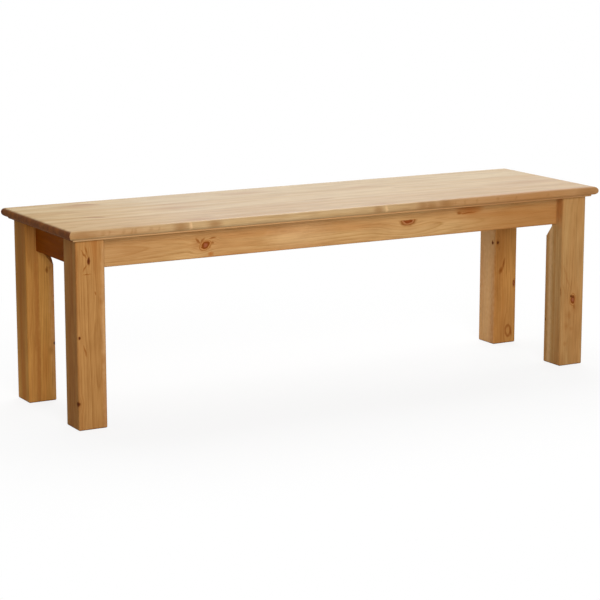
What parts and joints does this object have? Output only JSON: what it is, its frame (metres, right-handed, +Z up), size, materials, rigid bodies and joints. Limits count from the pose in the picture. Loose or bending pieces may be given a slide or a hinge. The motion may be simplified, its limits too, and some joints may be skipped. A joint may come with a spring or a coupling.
{
  "type": "bench",
  "caption": "Plain solid pine bench: a long seat of edge-glued boards with a moulded edge, on square legs joined by set-back aprons.",
  "frame": {"origin": "on the floor under the middle of the seat", "axes": "+X along the bench to its right end, +Y to its back, +Z up"},
  "size_m": [1.4, 0.4, 0.445],
  "materials": {
    "pine_seat": "planed pine, thin satin oil and wax",
    "pine_frame": "planed pine, thin satin oil and wax",
    "beech_dowel": "turned beech, bare",
    "zinc_plated_steel": "pressed steel, bright zinc plate"
  },
  "bodies": {
    "root": {"back_apron": "pine_frame", "bolt_nut_back_left": "zinc_plated_steel", "bolt_nut_back_right": "zinc_plated_steel", "bolt_nut_front_left": "zinc_plated_steel", "bolt_nut_front_right": "zinc_plated_steel", "bolt_washer_back_left": "zinc_plated_steel", "bolt_washer_back_right": "zinc_plated_steel", "bolt_washer_front_left": "zinc_plated_steel", "bolt_washer_front_right": "zinc_plated_steel", "bracket_screws_back_left": "zinc_plated_steel", "bracket_screws_back_right": "zinc_plated_steel", "bracket_screws_front_left": "zinc_plated_steel", "bracket_screws_front_right": "zinc_plated_steel", "corner_bracket_back_left": "zinc_plated_steel", "corner_bracket_back_right": "zinc_plated_steel", "corner_bracket_front_left": "zinc_plated_steel", "corner_bracket_front_right": "zinc_plated_steel", "front_apron": "pine_frame", "hanger_bolt_back_left": "zinc_plated_steel", "hanger_bolt_back_right": "zinc_plated_steel", "hanger_bolt_front_left": "zinc_plated_steel", "hanger_bolt_front_right": "zinc_plated_steel", "left_apron": "pine_frame", "leg_back_left": "pine_frame", "leg_back_right": "pine_frame", "leg_front_left": "pine_frame", "leg_front_right": "pine_frame", "middle_rail": "pine_frame", "middle_rail_dowels": "beech_dowel", "middle_rail_screws": "zinc_plated_steel", "right_apron": "pine_frame", "seat_board_back": "pine_seat", "seat_board_front": "pine_seat", "seat_board_middle": "pine_seat", "seat_clip_back_left": "zinc_plated_steel", "seat_clip_back_right": "zinc_plated_steel", "seat_clip_front_left": "zinc_plated_steel", "seat_clip_front_right": "zinc_plated_steel", "seat_clip_left_end": "zinc_plated_steel", "seat_clip_right_end": "zinc_plated_steel", "seat_clip_screws_back_left": "zinc_plated_steel", "seat_clip_screws_back_right": "zinc_plated_steel", "seat_clip_screws_front_left": "zinc_plated_steel", "seat_clip_screws_front_right": "zinc_plated_steel", "seat_clip_screws_left_end": "zinc_plated_steel", "seat_clip_screws_right_end": "zinc_plated_steel"}
  },
  "joints": []
}
